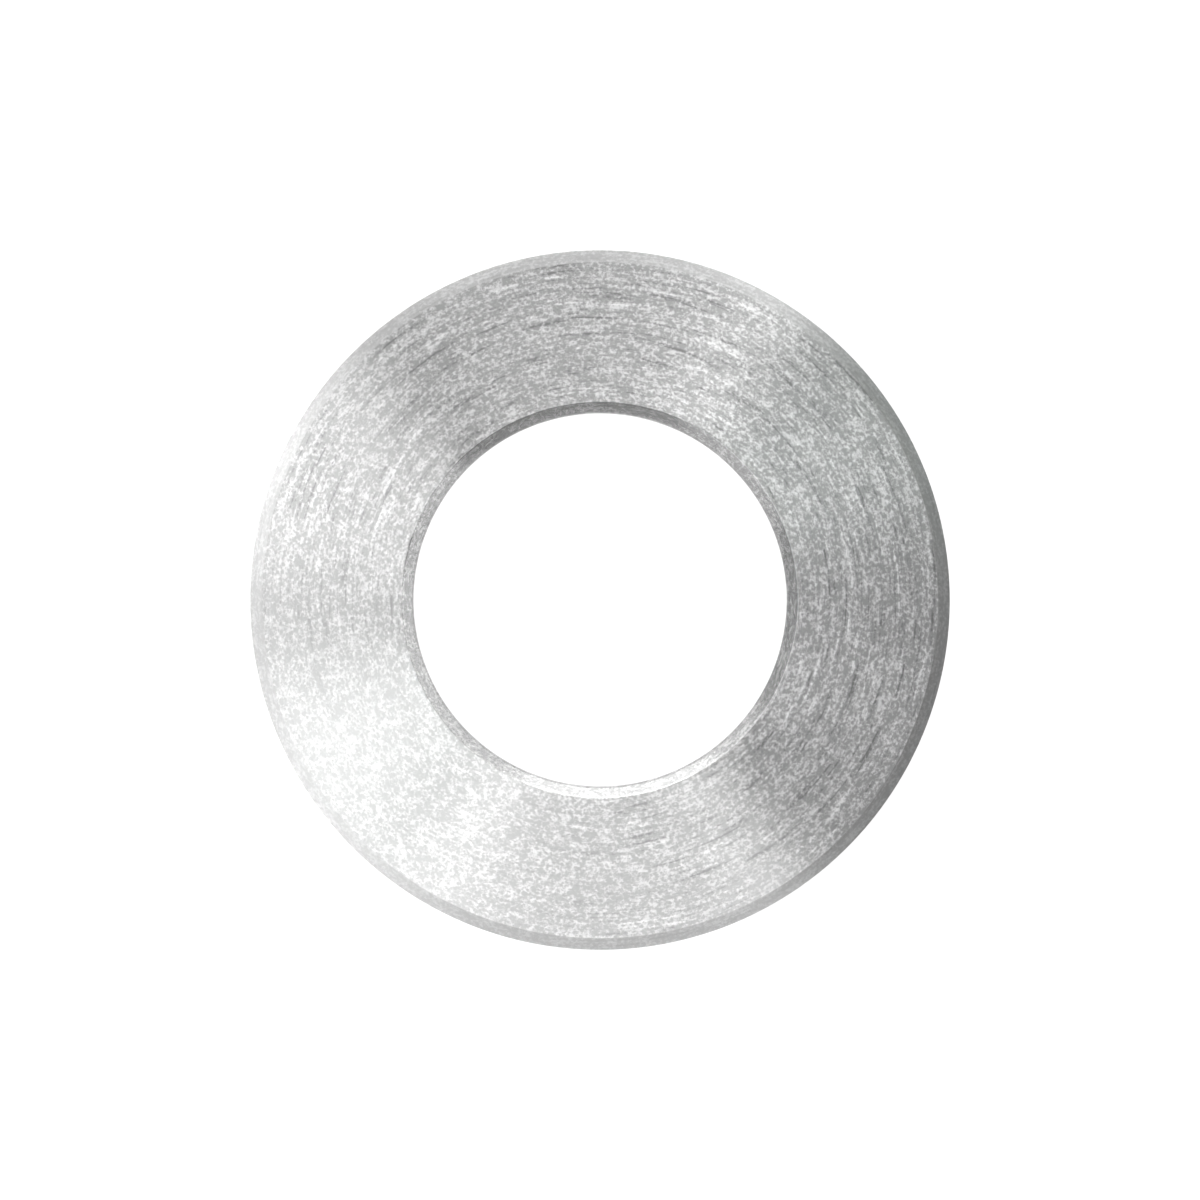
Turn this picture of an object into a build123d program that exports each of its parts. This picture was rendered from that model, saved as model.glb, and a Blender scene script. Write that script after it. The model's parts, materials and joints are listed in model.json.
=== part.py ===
from build123d import *
import os

# Plain flat washer for an M6 bolt, in millimetres.
# The origin is the centre of the rear face, where the washer rests.
# +Z is the bore's axis and points to the chamfered face, which carries the bolt head.

# Driving dimensions
outside_diameter = 12.0
bore_diameter = 6.4
thickness = 1.6
face_chamfer = 0.2
rear_edge_break = 0.05

outside_radius = outside_diameter / 2
bore_radius = bore_diameter / 2


def ring_blank():
    """The disc as it is blanked, with a square edge all round and its bore cut through."""
    disc = Cylinder(outside_radius, thickness, align=(Align.CENTER, Align.CENTER, Align.MIN))
    bore = Cylinder(bore_radius, thickness, align=(Align.CENTER, Align.CENTER, Align.MIN))
    return disc - bore


def bevel_face_edges(ring, end, size):
    """Cut a 45 degree bevel round the rim and round the bore, on the rear (0) or the top (-1) face."""
    face = ring.faces().sort_by(Axis.Z)[end]
    return chamfer(face.edges(), size)


def make_washer():
    """The finished washer: chamfered on top, and with its burr taken off at the rear."""
    ring = ring_blank()
    ring = bevel_face_edges(ring, -1, face_chamfer)
    ring = bevel_face_edges(ring, 0, rear_edge_break)
    ring.label = "washer"
    return ring


washer = make_washer()
os.makedirs("parts", exist_ok=True)
export_step(washer, "parts/washer.step")
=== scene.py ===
import json
import math

import bpy
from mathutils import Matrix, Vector, noise


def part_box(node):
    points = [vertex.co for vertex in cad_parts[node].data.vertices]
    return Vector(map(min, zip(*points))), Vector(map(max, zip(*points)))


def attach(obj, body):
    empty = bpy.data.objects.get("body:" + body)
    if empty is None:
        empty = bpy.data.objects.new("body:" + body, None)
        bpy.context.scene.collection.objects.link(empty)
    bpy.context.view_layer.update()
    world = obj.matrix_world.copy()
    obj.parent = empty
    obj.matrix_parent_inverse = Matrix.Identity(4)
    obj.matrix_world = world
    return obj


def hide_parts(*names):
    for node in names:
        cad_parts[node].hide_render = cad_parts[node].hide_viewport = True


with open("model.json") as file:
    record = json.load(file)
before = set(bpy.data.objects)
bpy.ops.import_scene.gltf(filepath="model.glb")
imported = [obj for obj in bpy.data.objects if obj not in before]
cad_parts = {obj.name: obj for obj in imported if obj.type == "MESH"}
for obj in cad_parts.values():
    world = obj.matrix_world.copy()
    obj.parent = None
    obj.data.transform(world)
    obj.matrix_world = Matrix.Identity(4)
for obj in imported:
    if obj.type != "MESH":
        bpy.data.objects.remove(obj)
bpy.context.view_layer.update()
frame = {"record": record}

# A flat washer of bare turned steel, lying on a white table and seen from straight above.
# Everything is in metres, and +Z is the bore's axis.

MM = 0.001
MICRON = 0.001 * MM

# The washer's sizes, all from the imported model.
low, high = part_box("washer")
bore = next(m for m in frame["record"]["mounts"] if m["name"] == "bore")
OUTSIDE_RADIUS = (high.x - low.x) / 2
BORE_RADIUS = bore["dims"]["r_mm"] * MM
BORE_WALL_LENGTH = bore["dims"]["length_mm"] * MM
BORE_WALL_LOW = bore["pos_m"][2] - BORE_WALL_LENGTH / 2
BORE_WALL_HIGH = bore["pos_m"][2] + BORE_WALL_LENGTH / 2
TOP_BEVEL = high.z - BORE_WALL_HIGH
REAR_BEVEL = BORE_WALL_LOW - low.z

# The mesh
SEGMENTS = 384          # points round the ring
TOP_STEPS = 144         # steps across each side of the section
REAR_STEPS = 38
RIM_STEPS = 20
BORE_STEPS = 14
BEVEL_STEPS = 6
EDGE_ROUND = 6 * MICRON     # how far each edge's rounding reaches from the sharp corner
EDGE_STEPS = 3

# The finishes, in the order of the washer's material slots
FACE = 0
RIM = 1
BORE = 2

# Tool marks cut into the mesh: broken arcs round the ring
MARK_DEPTH = 1.2 * MICRON
MARK_WIDTH = 45 * MICRON
MARK_TURNS = 5.0        # higher means shorter arcs
MARK_START = 0.12       # higher means fewer marks

# The relief of the steel's surface: grain, patches, thin veins and turning marks, all made of noise
NOISE_MIDDLE = 0.5
GRAIN_SIZE = 62 * MICRON
PATCH_SIZE = 170 * MICRON
VEIN_SPACING = 130 * MICRON
TURNING_WIDTH = 60 * MICRON
VEIN_WIDTH = 0.09           # how far from the noise's middle a vein reaches
ARC_PULL = 0.85             # higher means grain and veins that are drawn out more round the ring
PATCH_SHARE = 0.3           # how strong each is, against the grain
VEIN_SHARE = 0.13
TURNING_SHARE = 0.6
BUMP_HEIGHT = 0.5 * MICRON
QUARTER_TURN = 0.25         # the shine is drawn out across the turning marks

# Where in the relief the steel is all grey, and where it is all pale
GREY_LEVEL = 0.38
PALE_LEVEL = 0.71

# Where in the turning marks' noise the dark ones are full and end, and the pale ones start and are full
DARK_MARK_FULL = 0.52
DARK_MARK_END = 0.66
PALE_MARK_START = 0.86
PALE_MARK_FULL = 1.0
PALE_MARKS = 0.5            # how strong the pale ones are, against the dark
RAGGED = 0.5                # how much the grain breaks both up

# Painted highlight: on one side, the lower left where the brightest fan of light falls, the grain and the
# turning marks are faded; how much is left there of the grain and of the turning marks
SIDE_AWAY_FROM_HIGHLIGHT = (0.71, 0.71, 0.0)
HIGHLIGHT_FADE_FULL = -1.0           # where the faded side is, along the direction pointing away from it
HIGHLIGHT_FADE_EDGE = -0.5
GRAIN_IN_HIGHLIGHT = 0.85
TURNING_IN_HIGHLIGHT = 0.2

# The view
WASHER_SHARE = 0.5832       # how much of the picture's width the washer fills
FRAME_WIDTH = (high.x - low.x) / WASHER_SHARE
LENS = 1000.0
SENSOR = 36.0

# The light round the washer, and the light table under it
WORLD_LIGHT = 0.155
TABLE_SHADE = 0.15
TABLE_GLOW = 0.97
TABLE_WIDTH = 1200 * MM
TABLE_GAP = 1 * MICRON      # keeps the table top clear of the washer's rear face

# Each kind of lamp: its distance from the axis, height, width and length
LAMP_KINDS = {
    "near": (9 * MM, 13.6 * MM, 3 * MM, 8 * MM),
    "beside": (20 * MM, 12 * MM, 8 * MM, 8 * MM),
    "high": (45 * MM, 62 * MM, 18 * MM, 40 * MM),
    "middle": (60 * MM, 50 * MM, 18 * MM, 40 * MM),
    "low": (60 * MM, 10 * MM, 14 * MM, 16 * MM),
    "strip": (60 * MM, 6 * MM, 12 * MM, 8 * MM),
}

# Arcs of lamps: name, kind, first and last azimuth in degrees, and radiance
LAMP_STEP = 10
LAMP_ARCS = [
    ("left_above", "near", 140, 160, 2.5),
    ("left", "near", 170, 190, 2.8),
    ("lower_left", "near", 200, 220, 3.9),
    ("below_left", "near", 230, 240, 2.95),
    ("below", "near", 250, 280, 2.05),
    ("right_of_below", "near", 290, 290, 1.6),
    ("lower_right", "near", 300, 300, 3.45),
    ("edge_left", "beside", 150, 170, 2.8),
    ("edge_lower_left", "beside", 190, 230, 0.7),
    ("right_of_top", "high", 20, 50, 0.5),
    ("upper_right", "middle", 60, 60, 4.8),
    ("right_above", "high", 70, 70, 2.4),
    ("above", "high", 80, 120, 1.35),
    ("upper_left", "high", 130, 140, 0.85),
    ("low_above", "low", 70, 120, 3.15),
    ("low_upper_left", "low", 130, 140, 1.4),
    ("low_lower_left", "low", 210, 240, 0.7),
    ("low_below_right", "strip", -40, -10, 1.8),
    ("low_right", "strip", 0, 60, 2.4),
]
FAINT_GREEN = (0.85, 1.0, 0.92)
WHITE = (1.0, 1.0, 1.0)
LAMP_COLOURS = {"right_of_top": FAINT_GREEN}    # the rest are white


def rounded_corner(before, corner, after):
    """Points along the small rounding of one corner of the section."""
    start = corner + (before - corner).normalized() * EDGE_ROUND
    end = corner + (after - corner).normalized() * EDGE_ROUND
    points = []
    for step in range(EDGE_STEPS + 1):
        t = step / EDGE_STEPS
        points.append(start.lerp(corner, t).lerp(corner.lerp(end, t), t))
    return points


def section():
    """The ring's section, clockwise from the bore's edge on the top face.

    Gives its (radius, height) points and, for each one, the finish of the side that starts there.
    """
    sides = [
        ((BORE_RADIUS + TOP_BEVEL, high.z), TOP_STEPS, FACE),
        ((OUTSIDE_RADIUS - TOP_BEVEL, high.z), BEVEL_STEPS, RIM),
        ((OUTSIDE_RADIUS, high.z - TOP_BEVEL), RIM_STEPS, RIM),
        ((OUTSIDE_RADIUS, low.z + REAR_BEVEL), EDGE_STEPS, RIM),
        ((OUTSIDE_RADIUS - REAR_BEVEL, low.z), REAR_STEPS, FACE),
        ((BORE_RADIUS + REAR_BEVEL, low.z), EDGE_STEPS, BORE),
        ((BORE_RADIUS, low.z + REAR_BEVEL), BORE_STEPS, BORE),
        ((BORE_RADIUS, high.z - TOP_BEVEL), BEVEL_STEPS, BORE),
    ]
    corners = [Vector(place) for place, steps, finish in sides]
    points = []
    finishes = []
    for i, (place, steps, finish) in enumerate(sides):
        following = corners[(i + 1) % len(corners)]
        arc = rounded_corner(corners[i - 1], corners[i], following)
        run_end = following + (corners[i] - following).normalized() * EDGE_ROUND
        run = [arc[-1].lerp(run_end, step / steps) for step in range(1, steps)]
        points += arc + run
        finishes += [finish] * len(arc + run)
    return points, finishes


def mark_depth(angle, along):
    """How deep the tool marks are at a place, as a length. Along is the distance round the section."""
    place = Vector((math.cos(angle) * MARK_TURNS, math.sin(angle) * MARK_TURNS, along / MARK_WIDTH))
    return MARK_DEPTH * max(0.0, noise.noise(place) - MARK_START)


def ring_mesh(name):
    """The section turned round the bore's axis, with tool marks pressed into every surface."""
    outline, finishes = section()
    count = len(outline)
    along = 0.0
    vertices = []
    for i, point in enumerate(outline):
        tangent = (outline[(i + 1) % count] - outline[i - 1]).normalized()
        inward = Vector((tangent.y, -tangent.x))
        along += (point - outline[i - 1]).length
        for segment in range(SEGMENTS):
            angle = 2 * math.pi * segment / SEGMENTS
            radius, height = point + inward * mark_depth(angle, along)
            vertices.append((radius * math.cos(angle), radius * math.sin(angle), height))
    faces = []
    for i in range(count):
        following = (i + 1) % count
        for segment in range(SEGMENTS):
            beside = (segment + 1) % SEGMENTS
            faces.append((
                i * SEGMENTS + segment,
                following * SEGMENTS + segment,
                following * SEGMENTS + beside,
                i * SEGMENTS + beside,
            ))
    mesh = bpy.data.meshes.new(name)
    mesh.from_pydata(vertices, [], faces)
    mesh.polygons.foreach_set("use_smooth", [True] * len(mesh.polygons))
    face_finishes = [finish for finish in finishes for segment in range(SEGMENTS)]
    mesh.polygons.foreach_set("material_index", face_finishes)
    mesh.update()
    return mesh


def add_node(tree, kind, inputs=None, **settings):
    """A new node, with its settings and its inputs, which are values or other nodes' sockets."""
    node = tree.nodes.new(kind)
    for name, value in settings.items():
        setattr(node, name, value)
    for key, value in (inputs or {}).items():
        if isinstance(value, bpy.types.NodeSocket):
            tree.links.new(value, node.inputs[key])
        else:
            node.inputs[key].default_value = value
    return node


def calculate(tree, operation, first, second):
    """What a math operation makes of two values or sockets."""
    return add_node(tree, "ShaderNodeMath", {0: first, 1: second}, operation=operation).outputs["Value"]


def ramp(tree, value, start, end, low_value, high_value):
    """The value's own range from start to end, spread smoothly from low_value to high_value."""
    inputs = {"Value": value, "From Min": start, "From Max": end, "To Min": low_value, "To Max": high_value}
    return add_node(tree, "ShaderNodeMapRange", inputs, interpolation_type="SMOOTHSTEP").outputs["Result"]


def reach(tree, place, direction):
    """How far a place lies in a direction."""
    inputs = {0: place, 1: direction}
    return add_node(tree, "ShaderNodeVectorMath", inputs, operation="DOT_PRODUCT").outputs["Value"]


def outward_direction(tree, place):
    """The direction from the axis to a place."""
    inputs = {0: place, 1: (1.0, 1.0, 0.0)}
    level = add_node(tree, "ShaderNodeVectorMath", inputs, operation="MULTIPLY").outputs["Vector"]
    return add_node(tree, "ShaderNodeVectorMath", {0: level}, operation="NORMALIZE").outputs["Vector"]


def noise_value(tree, place, scale, detail, roughness, fourth=None):
    """Noise from 0 to 1 at a place, which may have a fourth number."""
    inputs = {"Vector": place, "Scale": scale, "Detail": detail, "Roughness": roughness}
    if fourth is None:
        return add_node(tree, "ShaderNodeTexNoise", inputs, noise_dimensions="3D").outputs["Fac"]
    inputs["W"] = fourth
    return add_node(tree, "ShaderNodeTexNoise", inputs, noise_dimensions="4D").outputs["Fac"]


def thin_veins(tree, place, pull):
    """Meandering lines, 1 along their middle and 0 between them: where noise is near its own middle."""
    wander = noise_value(tree, place, 1 / VEIN_SPACING, detail=2.0, roughness=0.6, fourth=pull)
    folded = calculate(tree, "PINGPONG", wander, NOISE_MIDDLE)
    return ramp(tree, folded, NOISE_MIDDLE - VEIN_WIDTH, NOISE_MIDDLE, 0.0, 1.0)


def turning_marks(tree, place, outward, radius):
    """Noise from 0 to 1, drawn out in arcs: it changes slowly round the ring and quickly across it."""
    height = add_node(tree, "ShaderNodeSeparateXYZ", {"Vector": place}).outputs["Z"]
    outward_parts = add_node(tree, "ShaderNodeSeparateXYZ", {"Vector": outward}).outputs
    drawn_out = add_node(tree, "ShaderNodeCombineXYZ", {
        "X": calculate(tree, "MULTIPLY", outward_parts["X"], MARK_TURNS),
        "Y": calculate(tree, "MULTIPLY", outward_parts["Y"], MARK_TURNS),
        "Z": calculate(tree, "DIVIDE", radius, TURNING_WIDTH),
    }).outputs["Vector"]
    level = calculate(tree, "DIVIDE", height, TURNING_WIDTH)
    return noise_value(tree, drawn_out, 1.0, detail=3.0, roughness=0.55, fourth=level)


def add_relief(tree, relief, noise_socket, share):
    """The relief, raised where the noise is above its middle and lowered where it is below."""
    rise = calculate(tree, "MULTIPLY", calculate(tree, "SUBTRACT", noise_socket, NOISE_MIDDLE), share)
    return calculate(tree, "ADD", relief, rise)


def bare_steel(name, shade, grain, marks, roughness, spread, anisotropic):
    """Bare turned steel: pale blotches on grey, broken turning marks, and a shine in fans round the axis.

    Grain and marks are how much lighter or darker than the shade they are, and spread is how much
    rougher the pale blotches are than the grey between them.
    """
    material = bpy.data.materials.new(name)
    material.use_nodes = True
    tree = material.node_tree
    tree.nodes.clear()
    place = add_node(tree, "ShaderNodeTexCoord").outputs["Object"]
    outward = outward_direction(tree, place)
    radius = reach(tree, place, outward)
    pull = calculate(tree, "MULTIPLY", radius, ARC_PULL)    # makes noise change faster across the ring
    blotches = noise_value(tree, place, 1 / GRAIN_SIZE, detail=3.0, roughness=0.6, fourth=pull)
    patches = noise_value(tree, place, 1 / PATCH_SIZE, detail=1.0, roughness=0.5)
    turning = turning_marks(tree, place, outward, radius)

    # Painted highlight: the grain and turning marks fade towards the lower left, where the brightest fan of
    # light falls, standing in for the light washing the texture out
    side = reach(tree, outward, SIDE_AWAY_FROM_HIGHLIGHT)
    grain_highlight_fade = ramp(tree, side, HIGHLIGHT_FADE_FULL, HIGHLIGHT_FADE_EDGE, GRAIN_IN_HIGHLIGHT, 1.0)
    turning_highlight_fade = ramp(tree, side, HIGHLIGHT_FADE_FULL, HIGHLIGHT_FADE_EDGE, TURNING_IN_HIGHLIGHT, 1.0)
    relief = add_relief(tree, NOISE_MIDDLE, blotches, grain_highlight_fade)
    relief = add_relief(tree, relief, patches, PATCH_SHARE)
    relief = add_relief(tree, relief, thin_veins(tree, place, pull), VEIN_SHARE)
    relief = add_relief(tree, relief, turning, calculate(tree, "MULTIPLY", turning_highlight_fade, TURNING_SHARE))

    ragged = calculate(tree, "ADD", turning, calculate(tree, "MULTIPLY", blotches, RAGGED))
    dark = ramp(tree, ragged, DARK_MARK_FULL, DARK_MARK_END, marks, 0.0)
    pale = ramp(tree, ragged, PALE_MARK_START, PALE_MARK_FULL, 0.0, marks * PALE_MARKS)
    # The streaks of the turning marks fade there too, as part of the painted highlight
    streaks = calculate(tree, "MULTIPLY", calculate(tree, "SUBTRACT", pale, dark), turning_highlight_fade)
    tone = ramp(tree, relief, GREY_LEVEL, PALE_LEVEL, shade * (1 - grain), shade * (1 + grain))
    tone = calculate(tree, "MULTIPLY", tone, calculate(tree, "ADD", 1.0, streaks))

    colour = add_node(tree, "ShaderNodeCombineColor", {"Red": tone, "Green": tone, "Blue": tone})
    polish = roughness
    if spread > 0:
        polish = ramp(tree, relief, GREY_LEVEL, PALE_LEVEL, roughness - spread, roughness + spread)
    bump = add_node(tree, "ShaderNodeBump", {"Height": relief, "Strength": 1.0, "Distance": BUMP_HEIGHT})
    tangent = add_node(tree, "ShaderNodeTangent", direction_type="RADIAL", axis="Z")
    shader = add_node(tree, "ShaderNodeBsdfPrincipled", {
        "Base Color": colour.outputs["Color"],
        "Metallic": 1.0,
        "Roughness": polish,
        "Anisotropic": anisotropic,
        "Anisotropic Rotation": QUARTER_TURN,
        "Normal": bump.outputs["Normal"],
        "Tangent": tangent.outputs["Tangent"],
    })
    add_node(tree, "ShaderNodeOutputMaterial", {"Surface": shader.outputs["BSDF"]})
    return material


def light_table():
    """The plain white surface the washer lies on, which is lit a little from below."""
    material = bpy.data.materials.new("light_table")
    material.use_nodes = True
    shader = material.node_tree.nodes["Principled BSDF"]
    shader.inputs["Base Color"].default_value = (TABLE_SHADE, TABLE_SHADE, TABLE_SHADE, 1.0)
    shader.inputs["Roughness"].default_value = 1.0
    shader.inputs["Specular IOR Level"].default_value = 0.0
    shader.inputs["Emission Color"].default_value = (1.0, 1.0, 1.0, 1.0)
    shader.inputs["Emission Strength"].default_value = TABLE_GLOW
    return material


def make_washer():
    """The washer itself, in place of the CAD ring."""
    washer = bpy.data.objects.new("turned_washer", ring_mesh("turned_washer"))
    bpy.context.scene.collection.objects.link(washer)
    washer.data.materials.append(bare_steel(
        "face_steel", shade=0.565, grain=0.315, marks=0.38, roughness=0.42, spread=0.06, anisotropic=1.0))
    washer.data.materials.append(bare_steel(
        "rim_steel", shade=0.61, grain=0.12, marks=0.12, roughness=0.52, spread=0.0, anisotropic=1.0))
    washer.data.materials.append(bare_steel(
        "bore_steel", shade=0.61, grain=0.18, marks=0.10, roughness=0.25, spread=0.0, anisotropic=0.3))
    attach(washer, "root")
    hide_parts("washer")


def make_floor():
    """The table top, just under the washer."""
    half = TABLE_WIDTH / 2
    level = low.z - TABLE_GAP
    mesh = bpy.data.meshes.new("table_top")
    corners = [(-half, -half, level), (half, -half, level), (half, half, level), (-half, half, level)]
    mesh.from_pydata(corners, [], [(0, 1, 2, 3)])
    floor = bpy.data.objects.new("table_top", mesh)
    bpy.context.scene.collection.objects.link(floor)
    mesh.materials.append(light_table())


def soft_light(name, azimuth, offset, height, width, length, radiance, colour):
    """A soft light that faces the washer, at an azimuth in degrees from +X towards +Y.

    Its width runs round the ring, and its length towards the axis.
    """
    around = math.radians(azimuth)
    away = Vector((math.cos(around) * offset, math.sin(around) * offset, height))
    data = bpy.data.lights.new(name, "AREA")
    data.shape = "ELLIPSE"
    data.size = width
    data.size_y = length
    data.energy = radiance * math.pi * math.pi * width * length / 4
    data.color = colour
    light = bpy.data.objects.new(name, data)
    bpy.context.scene.collection.objects.link(light)
    light.location = away
    light.rotation_euler = away.to_track_quat("Z", "Y").to_euler()
    light.visible_camera = False


def make_world():
    """Dim pale light from all round."""
    world = bpy.data.worlds.new("studio")
    world.use_nodes = True
    background = world.node_tree.nodes["Background"]
    background.inputs["Color"].default_value = (WORLD_LIGHT, WORLD_LIGHT, WORLD_LIGHT, 1.0)
    bpy.context.scene.world = world


def make_lights():
    """Every arc of soft lamps, with a lamp at each step from its first azimuth to its last."""
    for name, kind, first, last, radiance in LAMP_ARCS:
        colour = LAMP_COLOURS.get(name, WHITE)
        for azimuth in range(first, last + 1, LAMP_STEP):
            soft_light(f"{name}_{azimuth}", azimuth, *LAMP_KINDS[kind], radiance, colour)


def make_camera():
    """A long lens straight above the washer, with +Y at the top of the picture."""
    data = bpy.data.cameras.new("camera")
    data.lens = LENS
    data.sensor_width = SENSOR
    camera = bpy.data.objects.new("camera", data)
    bpy.context.scene.collection.objects.link(camera)
    distance = FRAME_WIDTH * LENS / SENSOR
    camera.location = (0.0, 0.0, high.z + distance)
    data.clip_start = distance / 10
    data.clip_end = distance * 2
    bpy.context.scene.camera = camera


make_washer()
make_floor()
make_world()
make_lights()
make_camera()
bpy.context.scene.view_settings.view_transform = "Standard"
